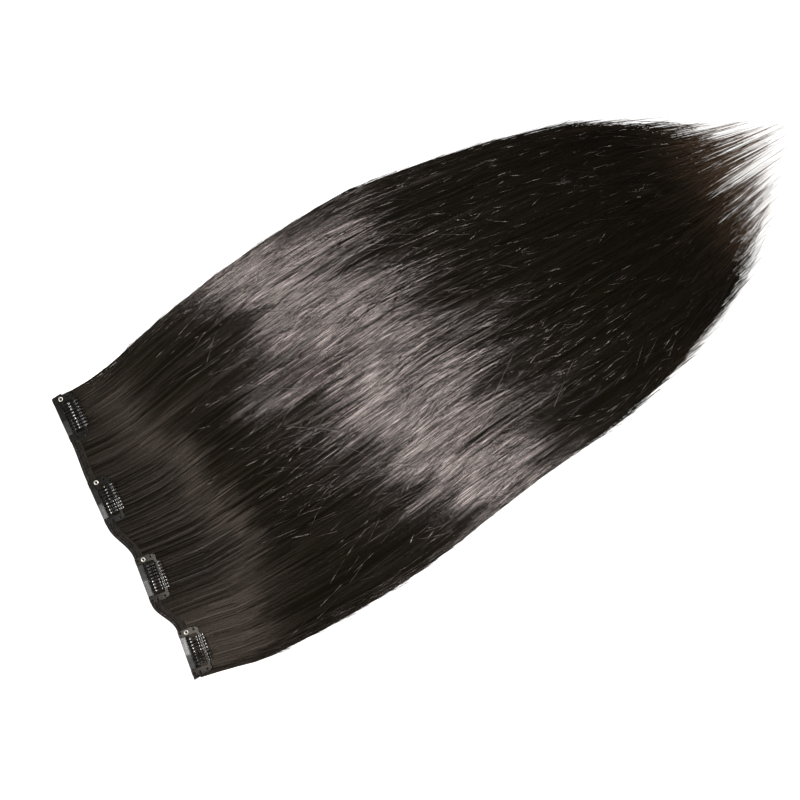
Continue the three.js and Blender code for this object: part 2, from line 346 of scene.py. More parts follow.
def run_out(flow):
    """Distance from the root at which a hair comes to the edge of the tips."""
    steps = np.linspace(TIPS_FROM, LONGEST, RUN_OUT_STEPS)
    inside = np.abs(run_straight(flow[:, None], steps)) < 1
    at_edge = np.interp(inside.sum(1), [0, RUN_OUT_STEPS], [TIPS_FROM, LONGEST])
    return np.minimum(at_edge, LONGEST - SIDE_LOSS * np.abs(flow - POINT_AT) ** SIDE_LOSS_POWER)


def fringe_share(flow):
    """The fringe of thinning ends is deep at the point of the lock and shallow along its sides."""
    return 1 - FRINGE_SIDE_LOSS * smooth(np.abs(flow - POINT_AT), *FRINGE_SIDES)


def body_points(u, v):
    """Upper surface of the body for shares across and along."""
    flow = BODY_INSET * (2 * u - 1)
    ragged = sum(share * np.sin(waves * flow + phase) for share, waves, phase in BODY_FINGERS)
    reach = run_out(flow) - BODY_SHORT * FRINGE * fringe_share(flow) + BODY_RAGGED * ragged
    distance = BODY_START + (reach - BODY_START) * v
    flow = run_straight(flow, distance)
    x, y = flow_place(flow, distance)
    sway = GROOVE_SWAY * np.sin(distance / GROOVE_SWAY_LENGTH)
    groove = np.sin(GROOVES * flow + sway + GROOVE_BUNCHING * np.sin(GROOVE_BUNCHES * flow))
    height = lock_height(flow, distance) * BODY_DEPTH + GROOVE_DEPTH * groove * smooth(distance, *GROOVE_FROM)
    thinned = height * (1 - (1 - BODY_TIP) * smooth(v, BODY_TIP_FROM, 1))
    return np.stack([x, y, np.maximum(thinned, BODY_LEAST)], -1)


bm = bmesh.new()
bmesh.ops.create_grid(bm, x_segments=BODY_ALONG, y_segments=BODY_ACROSS, size=0.5)
grid = np.array([vertex.co for vertex in bm.verts])
for vertex, place in zip(bm.verts, body_points(grid[:, 1] + 0.5, grid[:, 0] + 0.5) * MM):
    vertex.co = place
rim = [edge for edge in bm.edges if edge.is_boundary]
skirt = bmesh.ops.extrude_edge_only(bm, edges=rim)["geom"]
for vertex in (element for element in skirt if isinstance(element, bmesh.types.BMVert)):
    vertex.co.z = BODY_SOLE * MM
sole = [edge for edge in bm.edges if edge.is_boundary]
bmesh.ops.holes_fill(bm, edges=sole, sides=0)
bmesh.ops.recalc_face_normals(bm, faces=bm.faces)
body_mesh = to_mesh(bm, "hair_body")
body_mesh.shade_smooth()

HAIR_DARK = (0.0034, 0.0028, 0.0012, 1.0)
HAIR_BROWN = (0.0090, 0.0068, 0.0036, 1.0)
STREAK_STRETCH = (12.0, 900.0, 300.0)
GRAIN_DEPTH = 0.4 * MM
under_hair, shader, start = new_finish("under_hair")
place = start.make("TexCoord", {}, {}, "Object")
drawn_out = start.make("Mapping", {}, {"Vector": place, "Scale": STREAK_STRETCH})
streak = start.make("TexNoise", {}, {"Vector": drawn_out, "Scale": 1.0, "Detail": 4.0})
grain = start.make("Bump", {}, {"Height": streak, "Strength": 0.6, "Distance": GRAIN_DEPTH})
tint = start.mix(streak, HAIR_DARK, HAIR_BROWN)
start.feed(shader, {"Base Color": tint, "Roughness": 0.45, "Normal": grain})
hair_body = new_object("hair_body", body_mesh, under_hair)
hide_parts("hair")
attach(hair_body, "weft")

# Hair, strands: single hairs in four layers over the body, gathered in locks, clumps and wisps that wander a
# little. Each is a flat ridged fibre that thins at its end. Near the tips the hairs run out at the edge
# of the lock and end unevenly, in a fringe. The ends of the fringe, and the lock's edges near the tips, are
# painted a lighter brown: partly worn hair, and partly painted light glowing through the thin ends, with
# painted highlights on single hairs where the lighter colour follows each hair's tone.
LAYERS = 4
LAYER_HAIRS = 1780
HAIR_STEPS = 16
HAIR_START = 1.0
HAIR_CLOSER = 0.4  # share of the spacing of stations that grows towards the tip
HAIR_RADIUS = 0.18
HAIR_RADIUS_SPREAD = (0.75, 1.15)
HAIR_THINS = 0.55
HAIR_THINS_FROM = 0.9
HAIR_SECTION = [(-1.0, -0.08), (1.0, -0.08), (0.0, 0.1)]
HAIR_ROLL = 0.1
HAIR_CLEAR = 0.05
LOCKS = 17
LOCK_RIDGE = 0.35
LOCK_WANDER = 0.018
LOCK_WANDER_LENGTH = 240.0
LOCK_PHASE = 2.4
CLUMPS = 120
CLUMP_UNEVEN = 0.6
CLUMP_WIDTH = 1.1
CLUMP_OPENS = 0.35
CLUMP_WANDER = 0.007
CLUMP_WANDER_LENGTH = (160, 340)
CLUMP_WAVE = 0.5
CLUMP_WAVE_LENGTH = (110, 240)
CLUMP_REACH = (-9, 6)
CLUMP_GROOVE = 0.5
WISPS = 3
WISP_LIFT = 0.2
FRINGE_FADE = 0.4
FRINGE_OVER = 0.18
HAIR_WANDER = 0.004
HAIR_WANDER_LENGTH = (90, 260)
HAIR_WAVE = 0.16
HAIR_WAVE_LENGTH = (60, 150)
WAVE_SHARE = 0.8
WAVE_THICK = (0.5, 4.0)
WANDER_FROM = (10, 120)
TIPS_OPEN = (330, 500)
TIP_SPREAD = 0.028
CROSSING_SHARE = 0.07
CROSSING = 0.09
CROSSING_POWER = 1.5
EDGE_FRAY = 0.005
FRAY_MOST = 4 * EDGE_FRAY
FRAY_NEAR_EDGE = (0.8, 1)
FRAY_ALONG = (0.7, 1)
DEEPEST = 0.76
TONE_SPREAD = 0.15
ANY_TURN = (0, 2 * np.pi)
ANY_PHASE = (0, 7)
# Lighter ends near the tips and along the lock's edges close to them: partly worn hair, partly painted light
# glowing through the thin ends.
WORN_AND_LIT_ALONG = (420, 500)
WORN_AND_LIT_EDGE = (0.85, 1.1)
WORN_AND_LIT_EDGE_ALONG = (320, 420)
NOT_ZERO = 1e-9
TILE_NARROW = 160  # times as many columns of tiles as rows
TILE_LOW = 0.03
TILE_TALL = 0.94
TILE_SPARE = 0.5
TILE_END = 0.01
chance = np.random.default_rng(7)


def fibre_mesh(name, paths, radii, section, marks, roll=None, creased=False):
    """Joined mesh of closed fibres along paths (fibre, station, xyz) in millimetres, with marks by point.

    The section is a list of corners (sideways, up) for a radius of 1. If creased, its corners stay sharp.
    """
    count, stations = paths.shape[:2]
    corners = np.array(section)
    sides = len(corners)
    ahead = np.gradient(paths, axis=1)
    ahead /= np.linalg.norm(ahead, axis=2, keepdims=True) + NOT_ZERO
    side = np.cross(ahead, (0.0, 0.0, 1.0))
    side /= np.linalg.norm(side, axis=2, keepdims=True) + NOT_ZERO
    over = np.cross(side, ahead)
    if roll is not None:
        turn = roll[:, None, None]
        side, over = side * np.cos(turn) + over * np.sin(turn), over * np.cos(turn) - side * np.sin(turn)
    outline = corners[:, :1] * side[:, :, None] + corners[:, 1:] * over[:, :, None]
    rings = paths[:, :, None] + radii[:, :, None, None] * outline
    index = np.arange(count * stations * sides).reshape(count, stations, sides)
    after = np.roll(index, -1, axis=2)
    walls = np.stack([index[:, :-1], index[:, 1:], after[:, 1:], after[:, :-1]], -1).reshape(-1, 4)
    mesh = bpy.data.meshes.new(name)
    faces = walls.tolist() + index[:, 0].tolist() + index[:, -1, ::-1].tolist()
    mesh.from_pydata((rings.reshape(-1, 3) * MM).tolist(), [], faces, shade_flat=False)
    edges = np.empty(len(mesh.edges) * 2, np.int32)
    mesh.edges.foreach_get("vertices", edges)
    station = edges.reshape(-1, 2) // sides % stations
    lengthwise = station[:, 0] != station[:, 1]
    at_end = ((station == 0) | (station == stations - 1)).all(1)
    mesh.edges.foreach_set("use_edge_sharp", at_end | (lengthwise & creased))
    for mark, values in marks.items():
        spread = np.broadcast_to(values[:, :, None], (count, stations, sides))
        attribute = mesh.attributes.new(mark, "FLOAT", "POINT")
        attribute.data.foreach_set("value", np.ravel(spread).astype(np.float32))
    lay_out(mesh, count, stations, sides)
    return mesh


def lay_out(mesh, count, stations, sides):
    """Flat map of a fibre mesh: each fibre has an upright tile, unrolled, with its two ends in the corner."""
    rows = max(1, round(math.sqrt(count / TILE_NARROW)))
    columns = -(-count // rows)
    fibre = np.arange(count)
    left = (fibre % columns) / columns
    low = (fibre // columns) / rows
    u = left[:, None, None] + np.arange(sides + 1) / (sides + TILE_SPARE) / columns
    v = low[:, None, None] + (np.arange(stations) / stations * TILE_TALL + TILE_LOW)[:, None] / rows
    u, v = np.broadcast_arrays(u, v)
    tile = np.stack([u, v], -1)
    walls = np.stack([tile[:, :-1, :-1], tile[:, 1:, :-1], tile[:, 1:, 1:], tile[:, :-1, 1:]], -2)
    ring = np.stack([np.cos(np.arange(sides)), np.sin(np.arange(sides)) + 1], -1)
    caps = np.stack([left, low], -1)[:, None] + TILE_END / columns * ring
    corners = np.concatenate([walls.reshape(-1, 2), caps.reshape(-1, 2), caps.reshape(-1, 2)])
    mesh.uv_layers.new(name="OFBake").data.foreach_set("uv", np.ravel(corners).astype(np.float32))


def waves(distance, length, phase):
    """Waves along hairs, with a length and a phase for each hair."""
    return np.sin(2 * np.pi * distance / length[:, None] + phase[:, None])


clump_uneven = chance.uniform(-CLUMP_UNEVEN, CLUMP_UNEVEN, CLUMPS)
clump_centre = -1 + (2 * np.arange(CLUMPS) + 1 + clump_uneven) / CLUMPS
clump_phase = chance.uniform(*ANY_TURN, CLUMPS)
clump_length = chance.uniform(*CLUMP_WANDER_LENGTH, CLUMPS)
clump_wave_phase = chance.uniform(*ANY_TURN, CLUMPS)
clump_wave_length = chance.uniform(*CLUMP_WAVE_LENGTH, CLUMPS)
clump_reach = chance.uniform(*CLUMP_REACH, CLUMPS)
wisp_tone = chance.uniform(0, 1, CLUMPS * WISPS)
wisp_lift = chance.uniform(-WISP_LIFT, WISP_LIFT, CLUMPS * WISPS)


def hair_paths(layer):
    """Paths, radii, marks and roll of the hairs of one layer."""
    count = LAYER_HAIRS
    clump = np.arange(count) % CLUMPS
    lock = np.clip(((clump_centre[clump] + 1) / 2 * LOCKS).astype(int), 0, LOCKS - 1)
    offset = chance.uniform(-1, 1, count)
    wisp = clump * WISPS + ((offset + 1) / 2 * WISPS).astype(int)
    from_centre = offset * CLUMP_WIDTH / CLUMPS
    start_flow = clump_centre[clump] + from_centre

    most = 1 - math.exp(-(1 + FRINGE_OVER) / FRINGE_FADE)
    into_fringe = -FRINGE_FADE * np.log(1 - chance.uniform(0, most, count)) - 1
    reach = run_out(start_flow) + FRINGE * fringe_share(start_flow) * into_fringe + clump_reach[clump]
    step = np.linspace(0, 1, HAIR_STEPS)
    run = (1 - HAIR_CLOSER) * step + HAIR_CLOSER * step**2
    distance = HAIR_START + (reach[:, None] - HAIR_START) * run

    settled = smooth(distance, *WANDER_FROM)
    tips = smooth(distance, *TIPS_OPEN)
    gather = 1 + CLUMP_OPENS * settled - CLUMP_OPENS * tips
    lock_turn = LOCK_WANDER * waves(distance, np.full(count, LOCK_WANDER_LENGTH), lock * LOCK_PHASE)
    clump_turn = CLUMP_WANDER * waves(distance, clump_length[clump], clump_phase[clump])
    hair_turn = TIP_SPREAD * chance.normal(0, 1, count)[:, None] * tips + HAIR_WANDER * waves(
        distance, chance.uniform(*HAIR_WANDER_LENGTH, count), chance.uniform(*ANY_PHASE, count))
    crossing = (chance.uniform(0, 1, count) < CROSSING_SHARE) * chance.uniform(-CROSSING, CROSSING, count)
    flow = clump_centre[clump][:, None] + from_centre[:, None] * gather
    flow = flow + settled * (lock_turn * distance / LONGEST + clump_turn + hair_turn)
    flow = flow + crossing[:, None] * (distance / LONGEST) ** CROSSING_POWER
    loose = np.minimum(chance.exponential(EDGE_FRAY, count), FRAY_MOST)
    fray = smooth(np.abs(start_flow), *FRAY_NEAR_EDGE) * loose
    flow = np.where(np.abs(flow) > 1, np.sign(flow) * (2 - np.abs(flow)), flow)
    flow = flow + (np.sign(start_flow) * fray)[:, None] * smooth(run, *FRAY_ALONG)
    flow = run_straight(flow, distance)
    x, y = flow_place(flow, distance)

    depth = DEEPEST + (1 - DEEPEST) * (layer + chance.uniform(0, 1, count)) / LAYERS
    in_lock = ((start_flow + 1) / 2 * LOCKS) % 1 - 0.5
    ridge = 1 - LOCK_RIDGE * in_lock**2
    wave = (wisp_lift[wisp] - CLUMP_GROOVE * offset**2)[:, None] * np.ones_like(distance)
    wave = wave + CLUMP_WAVE * waves(distance, clump_wave_length[clump], clump_wave_phase[clump])
    wave = wave + HAIR_WAVE * waves(
        distance, chance.uniform(*HAIR_WAVE_LENGTH, count), chance.uniform(*ANY_PHASE, count))
    height = lock_height(flow, distance)
    calm = smooth(distance, *SWELL_FROM) * smooth(height, *WAVE_THICK)
    z = height * (depth * ridge)[:, None] + wave * calm * WAVE_SHARE
    thick = HAIR_RADIUS * chance.uniform(*HAIR_RADIUS_SPREAD, count)
    radii = thick[:, None] * (1 - HAIR_THINS * smooth(run, HAIR_THINS_FROM, 1))
    paths = np.stack([x, y, np.maximum(z, radii + HAIR_CLEAR)], -1)

    tone = np.clip(wisp_tone[wisp] + chance.normal(0, TONE_SPREAD, count), 0, 1)
    # Mask of the lighter painted ends: partly wear, partly painted light glowing through the thin tips and
    # edges.
    at_edge = smooth(np.abs(flow), *WORN_AND_LIT_EDGE) * smooth(distance, *WORN_AND_LIT_EDGE_ALONG)
    worn_and_lit = np.maximum(smooth(distance, *WORN_AND_LIT_ALONG), at_edge) ** 2
    marks = {"tone": np.repeat(tone[:, None], HAIR_STEPS, 1), "worn_and_lit": worn_and_lit}
    return paths, radii, marks, chance.normal(0, HAIR_ROLL, count)


# Colour of the ends: partly faded hair, partly painted light glowing through the thin tips.
HAIR_END_WORN_AND_LIT = (0.36, 0.235, 0.16, 1.0)
HAIR_SHEEN = (1.0, 0.9, 0.87, 1.0)
strand_hair, shader, start = new_finish("strand_hair")
tone = start.make("Attribute", {"attribute_name": "tone"}, {}, "Fac")
worn_and_lit = start.make("Attribute", {"attribute_name": "worn_and_lit"}, {}, "Fac")
tint = start.mix(tone, HAIR_DARK, HAIR_BROWN)
# The ends go lighter, more so on hairs of a higher tone: worn hair plus painted light through the tips and
# painted highlights on single hairs.
tint = start.mix(worn_and_lit * tone, tint, HAIR_END_WORN_AND_LIT)
start.feed(shader, {"Base Color": tint, "Roughness": 0.11 + 0.14 * tone})
start.feed(shader, {"Specular Tint": HAIR_SHEEN, "IOR": 1.55})
for layer in range(LAYERS):
    name = f"hair_layer_{layer + 1}"
    paths, radii, marks, roll = hair_paths(layer)
    mesh = fibre_mesh(name, paths, radii, HAIR_SECTION, marks, roll, True)
    strands = new_object(name, mesh, strand_hair)
    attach(strands, "weft")

# Hair, strays: hairs that have come loose from the locks, thinner than the hairs of the layers.
# Bowed and rippled lengths of them lie on the surface and glint. Shorter ones stand off the two edges of the
# lock as fuzz.
STRAY_RADIUS = 0.13
STRAY_TONE = (0.3, 1.5)
STRAY_ROLL = 0.3
STRAY_LOW = 0.2
GLINTS = 1200
GLINT_STEPS = 20
GLINT_LAST = 450
GLINT_SPAN = 350
GLINT_CROWDING = 1.6
GLINT_LENGTH = (30, 80)
GLINT_DRIFT = 0.12
GLINT_BOW = 0.015
GLINT_ACROSS = 0.96
GLINT_EDGE = 0.99
GLINT_LIFT = 0.35
GLINT_DIVE = 1.5
GLINT_THICK = (0.6, 1.2)
RIPPLE_LENGTH = (20, 60)
RIPPLE_STEEP = (0.1, 0.42)
RIPPLE_MOST = 1.5
FUZZ = 1800
FUZZ_STEPS = 7
FUZZ_EDGES = [
    # name, edge, distance of the last root
    ("hair_fuzz_low", -1.0, 350.0),
    ("hair_fuzz_high", 1.0, 390.0),
]
FUZZ_FIRST = 25
FUZZ_LENGTH = (10, 45)
FUZZ_ACROSS = (0.93, 0.995)
FUZZ_OFF_LEAST = 0.4
FUZZ_OFF = 1.1
FUZZ_OFF_MOST = 6.0
FUZZ_BEND = (0.8, 2.0)
FUZZ_SINKS = 0.6
FUZZ_ARCH = (0, 1.2)
FUZZ_THICK = (0.7, 1.5)
FUZZ_THINS = 0.5


def add_strays(name, x, y, z, distance, radii):
    """A joined piece of loose hairs of random shade and roll."""
    count, stations = distance.shape
    shade = np.repeat(chance.uniform(*STRAY_TONE, count)[:, None], stations, 1)
    # The loose hairs' ends are painted lighter too: partly worn, partly painted light glowing through the
    # thin ends.
    marks = {"tone": shade, "worn_and_lit": smooth(distance, *WORN_AND_LIT_ALONG) ** 2}
    paths = np.stack([x, y, np.maximum(z, STRAY_LOW)], -1)
    mesh = fibre_mesh(name, paths, radii, HAIR_SECTION, marks, chance.normal(0, STRAY_ROLL, count), True)
    strays = new_object(name, mesh, strand_hair)
    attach(strays, "weft")


step = np.linspace(0, 1, GLINT_STEPS)
middle = GLINT_LAST - GLINT_SPAN * chance.uniform(0, 1, GLINTS) ** GLINT_CROWDING
distance = middle[:, None] + chance.uniform(*GLINT_LENGTH, GLINTS)[:, None] * (step - 0.5)
drift = chance.normal(0, GLINT_DRIFT, GLINTS)[:, None] * (step - 0.5)
bow = chance.normal(0, GLINT_BOW, GLINTS)[:, None] * np.sin(np.pi * step)
flow = chance.uniform(-GLINT_ACROSS, GLINT_ACROSS, GLINTS)[:, None] + drift + bow
flow = np.clip(flow, -GLINT_EDGE, GLINT_EDGE)
x, y = flow_place(flow, distance)
ripple_length = chance.uniform(*RIPPLE_LENGTH, GLINTS)
ripple_height = chance.uniform(*RIPPLE_STEEP, GLINTS) * ripple_length / (2 * np.pi)
ripple_height = np.minimum(ripple_height, RIPPLE_MOST)
ripple = ripple_height[:, None] * waves(distance, ripple_length, chance.uniform(*ANY_PHASE, GLINTS))
dive = GLINT_DIVE * (1 - np.sin(np.pi * step)) ** 2
z = lock_height(flow, distance) + GLINT_LIFT + ripple - dive
radii = STRAY_RADIUS * chance.uniform(*GLINT_THICK, GLINTS)[:, None] * np.ones_like(distance)
add_strays("hair_glints", x, y, z, distance, radii)

for name, edge, last in FUZZ_EDGES:
    count = FUZZ // len(FUZZ_EDGES)
    step = np.linspace(0, 1, FUZZ_STEPS)
    first = chance.uniform(FUZZ_FIRST, last, count)
    distance = first[:, None] + chance.uniform(*FUZZ_LENGTH, count)[:, None] * step
    flow = edge * chance.uniform(*FUZZ_ACROSS, count)[:, None] * np.ones_like(distance)
    x, y = flow_place(flow, distance)
    stand_off = np.minimum(FUZZ_OFF_LEAST + chance.exponential(FUZZ_OFF, count), FUZZ_OFF_MOST)[:, None]
    y = y + edge * stand_off * step ** chance.uniform(*FUZZ_BEND, count)[:, None]
    arch = chance.uniform(*FUZZ_ARCH, count)[:, None] * np.sin(np.pi * step)
    z = lock_height(flow, distance) * (1 - FUZZ_SINKS * step) + arch
    radii = STRAY_RADIUS * chance.uniform(*FUZZ_THICK, count)[:, None] * (1 - FUZZ_THINS * step)
    add_strays(name, x, y, z, distance, radii)

# Weft band: the machine-sewn head of the weft, a stiff strip of dark cloth that the hair roots are folded
# into. A low ridge runs along each of its three seams.
BAND_THICK = 2.0
BAND_EDGE = 0.6
BAND_ROUND = 44
BAND_STEP = 1.5
BAND_CORNER = math.radians(50)
TOP_SHARE = 0.8  # shares of the way round the band that are its upper side and its sole
SOLE_SHARE = 0.2
ROUND_END = 0.999
SEAM_ROWS = [1.4, 3.5, 5.6]
SEAM_RISE = 0.22
SEAM_RIDGE = (0.2, 0.8)
MERGE_WITHIN = 0.001


def band_top(across):
    """Height of the band's upper side, with a low ridge along each seam."""
    edge = np.minimum(across, BAND_WIDTH - across)
    top = BAND_THICK - BAND_EDGE * (1 - smooth(edge, 0, BAND_EDGE)) ** 2
    for row in SEAM_ROWS:
        top = top + SEAM_RISE * (1 - smooth(np.abs(across - row), *SEAM_RIDGE))
    return top


def on_band(across, y):
    """x and y, in millimetres of the model's frame, of a place across the band."""
    return root_line(y) + across + SHIFT[0], y + SHIFT[1]


band_low = seat_y[0] - BAND_TAIL
band_high = seat_y[-1]
band_steps = round((band_high - band_low) / BAND_STEP)
bm = bmesh.new()
bmesh.ops.create_grid(bm, x_segments=BAND_ROUND, y_segments=band_steps, size=0.5)
grid = np.array([vertex.co for vertex in bm.verts]) + 0.5
over_top = np.clip(grid[:, 0] / TOP_SHARE, 0, 1)
under = np.clip((grid[:, 0] - TOP_SHARE) / SOLE_SHARE, 0, 1)
across = BAND_WIDTH * (over_top - under)
band_x, band_y = on_band(across, band_low + grid[:, 1] * (band_high - band_low))
band_z = np.where((under > 0) & (under < ROUND_END), 0.0, band_top(across))
for vertex, place in zip(bm.verts, np.stack([band_x, band_y, band_z], -1) * MM):
    vertex.co = place
bmesh.ops.remove_doubles(bm, verts=bm.verts, dist=MERGE_WITHIN * MM)
bmesh.ops.holes_fill(bm, edges=[edge for edge in bm.edges if edge.is_boundary], sides=0)
bmesh.ops.recalc_face_normals(bm, faces=bm.faces)
strip_mesh = to_mesh(bm, "weft_strip")
strip_mesh.shade_smooth()
strip_mesh.set_sharp_from_angle(angle=BAND_CORNER)

CLOTH_DARK = (0.0035, 0.003, 0.0026, 1.0)
CLOTH_WORN = (0.022, 0.019, 0.016, 1.0)
WEAVE = 520.0
FLUFF = 900.0
NAP_DEPTH = 0.15 * MM
band_cloth, shader, start = new_finish("band_cloth")
place = start.make("TexCoord", {}, {}, "Object")
weave = start.make("TexWave", {"bands_direction": "Y"},
                   {"Vector": place, "Scale": WEAVE, "Distortion": 1.5, "Detail": 2.0})
fluff = start.make("TexNoise", {}, {"Vector": place, "Scale": FLUFF, "Detail": 5.0})
nap = start.make("Bump", {}, {"Height": weave + fluff, "Strength": 0.7, "Distance": NAP_DEPTH})
start.feed(shader, {"Base Color": start.mix(fluff, CLOTH_DARK, CLOTH_WORN), "Roughness": 0.55 + 0.3 * fluff})
start.feed(shader, {"Normal": nap, "Specular IOR Level": 0.35})
weft_strip = new_object("weft_strip", strip_mesh, band_cloth)
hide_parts("weft_band")
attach(weft_strip, "weft")

# Root hairs: the folded ends of the hair, which lie side by side over the band and are sewn down to it.
# They show as fine lines across the strip, under the stitches.
ROOT_HAIRS = 620
ROOT_STEPS = 7
ROOT_RADIUS = 0.16
ROOT_THICK = (0.7, 1.2)
ROOT_INSET = 0.4
ROOT_UNEVEN = 0.2
ROOT_FIRST = 0.12
ROOT_PAST = 0.4
ROOT_LEVEL = 0.3
ROOT_SLANT = 0.45
ROOT_LIFT = (-0.02, 0.08)
ROOT_TONE = 0.6
ROOT_TONE_SPREAD = 0.25
ROOT_ROLL = 0.3
root_y = np.linspace(band_low + ROOT_INSET, band_high - ROOT_INSET, ROOT_HAIRS)
root_y = root_y + chance.uniform(-ROOT_UNEVEN, ROOT_UNEVEN, ROOT_HAIRS)
root_across = np.linspace(ROOT_FIRST, BAND_WIDTH + ROOT_PAST, ROOT_STEPS)
slant = chance.normal(0, ROOT_SLANT, ROOT_HAIRS)[:, None] * np.linspace(-0.5, 0.5, ROOT_STEPS)
root_x, lying_y = on_band(root_across, root_y[:, None] + slant)
lying_z = np.broadcast_to(band_top(np.minimum(root_across, BAND_WIDTH - ROOT_LEVEL)), root_x.shape)
paths = np.stack([root_x, lying_y, lying_z + chance.uniform(*ROOT_LIFT, ROOT_HAIRS)[:, None]], -1)
radii = np.full(root_x.shape, ROOT_RADIUS) * chance.uniform(*ROOT_THICK, ROOT_HAIRS)[:, None]
root_tone = np.clip(chance.normal(ROOT_TONE, ROOT_TONE_SPREAD, ROOT_HAIRS), 0, 1)
marks = {"tone": np.repeat(root_tone[:, None], ROOT_STEPS, 1), "worn_and_lit": np.zeros(root_x.shape)}
roll = chance.normal(0, ROOT_ROLL, ROOT_HAIRS)
roots_mesh = fibre_mesh("root_hairs", paths, radii, HAIR_SECTION, marks, roll, True)
root_hairs = new_object("root_hairs", roots_mesh, strand_hair)
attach(root_hairs, "weft")

# Seam stitches: three rows of lock stitches in black twisted thread, run by machine along the band.
# Each stitch rises from its hole, lies over the root hairs and goes down into the next hole.
STITCH_LENGTH = 2.4
STITCH_DRAWN = 0.98
STITCH_RADIUS = 0.2
STITCH_STEPS = 6
STITCH_SWAY = 0.1
STITCH_SUNK = 0.12
STITCH_RISE = 0.2
SEAM_INSET = 1
ROUND_SIDES = 6
ROUND_SECTION = [
    (math.cos(2 * k * math.pi / ROUND_SIDES), math.sin(2 * k * math.pi / ROUND_SIDES))
    for k in range(ROUND_SIDES)
]
stitch_count = round((band_high - band_low - 2 * SEAM_INSET) / STITCH_LENGTH)
step = np.linspace(-0.5, 0.5, STITCH_STEPS)
stitch_paths = []
for row in SEAM_ROWS:
    middle = band_low + SEAM_INSET + (np.arange(stitch_count) + 0.5) * STITCH_LENGTH
    y = middle[:, None] + step * STITCH_LENGTH * STITCH_DRAWN
    x, y = on_band(row + STITCH_SWAY * np.sin(2 * np.pi * step), y)
    arch = STITCH_RISE * np.sqrt(np.clip(1 - (2 * step) ** 2, 0, 1))
    z = float(band_top(np.array(row))) - STITCH_SUNK + arch
    stitch_paths.append(np.stack(np.broadcast_arrays(x, y, z), -1))
paths = np.concatenate(stitch_paths)
radii = np.full(paths.shape[:2], STITCH_RADIUS)

THREAD_DARK = (0.006, 0.0055, 0.005, 1.0)
THREAD_LIGHT = (0.03, 0.028, 0.026, 1.0)
TWIST = 1400.0
TWIST_DEPTH = 0.08 * MM
sewing_thread, shader, start = new_finish("sewing_thread")
place = start.make("TexCoord", {}, {}, "Object")
ply = start.make("TexWave", {"bands_direction": "DIAGONAL"},
                 {"Vector": place, "Scale": TWIST, "Distortion": 0.6})
twist = start.make("Bump", {}, {"Height": ply, "Strength": 0.5, "Distance": TWIST_DEPTH})
start.feed(shader, {"Base Color": start.mix(ply, THREAD_DARK, THREAD_LIGHT), "Roughness": 0.55 - 0.15 * ply})
start.feed(shader, {"Normal": twist})
stitches_mesh = fibre_mesh("seam_stitches", paths, radii, ROUND_SECTION, {})
seam_stitches = new_object("seam_stitches", stitches_mesh, sewing_thread)
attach(seam_stitches, "weft")

# Snap clip, frame: one piece of sheet steel, stamped and enamelled gloss black, sewn down by its two end
# plates. Two arms join the plates to the bar that the teeth close over. One plate has a hole for the eyelet,
# the other a notch.
CLIP_HALF = 16.0
CLIP_BED = 2.7
CLIP_SHEET = 0.7
CLIP_EDGE = 0.12
PLATE_INNER = 11.4
PLATE_CORNER = 1.0
PLATE_STRAIGHT = 9.6
ARM_START = 9.0
ARM_END = 10.2
ARM_SHOULDER = (14.3, 13.0)
SHOULDER_PULL = (14.6, 15.6)
NECK_PULL = (13.5, 12.0)
INNER_PULL = 12.0
BAR_INNER = 12.4
BAR_OUTER = 14.4
SEWING_HOLES = [(1.7, 14.3), (11.0, 14.0)]
SEWING_HOLE_RADIUS = 0.75
EYELET_PLACE = (5.8, 13.7)
EYELET_HOLE = 1.3
NOTCH_WIDTH = 1.2
NOTCH_DEPTH = 2.4
CURVE_STEPS = 9
HOLE_STEPS = 20
SOFT_STEPS = 2
SOFT_ANGLE = math.radians(40)


def arc_to(points, pull, end):
    """Adds a curve from the last point to an end, drawn towards a pull."""
    first = Vector(points[-1])
    for k in range(1, CURVE_STEPS + 1):
        t = k / CURVE_STEPS
        points.append(tuple(first * (1 - t) ** 2 + Vector(pull) * 2 * t * (1 - t) + Vector(end) * t**2))


def frame_half(end):
    """Outer and inner edge of one half of the frame, from the root edge to the middle of the bar."""
    outer = [(0, end * PLATE_INNER), (0, end * (CLIP_HALF - PLATE_CORNER))]
    arc_to(outer, (0, end * CLIP_HALF), (PLATE_CORNER, end * CLIP_HALF))
    if end < 0:
        for side, depth in ((-1, 0), (-1, NOTCH_DEPTH), (1, NOTCH_DEPTH), (1, 0)):
            outer.append((EYELET_PLACE[0] + side * NOTCH_WIDTH / 2, -CLIP_HALF + depth))
    outer.append((PLATE_STRAIGHT, end * CLIP_HALF))
    arc_to(outer, (SHOULDER_PULL[0], end * SHOULDER_PULL[1]), (ARM_SHOULDER[0], end * ARM_SHOULDER[1]))
    arc_to(outer, (NECK_PULL[0], end * NECK_PULL[1]), (BAR_OUTER, end * ARM_END))
    inner = [(ARM_START, end * PLATE_INNER)]
    arc_to(inner, (BAR_INNER, end * INNER_PULL), (BAR_INNER, end * ARM_END))
    return outer, inner


def add_loop(bm, points):
    corners = [bm.verts.new((x, y, 0)) for x, y in points]
    return [bm.edges.new((a, b)) for a, b in zip(corners, corners[1:] + corners[:1])]


def ring_points(middle, radius):
    turns = [2 * math.pi * k / HOLE_STEPS for k in range(HOLE_STEPS)]
    return [(middle[0] + radius * math.cos(a), middle[1] + radius * math.sin(a)) for a in turns]


def sheet_edges(piece, width):
    """Softens the stamped edges of a metal piece."""
    bevel = piece.modifiers.new("soft_edges", "BEVEL")
    bevel.width = width * MM
    bevel.segments = SOFT_STEPS
    bevel.limit_method = "ANGLE"
    bevel.angle_limit = SOFT_ANGLE
    bevel.harden_normals = True


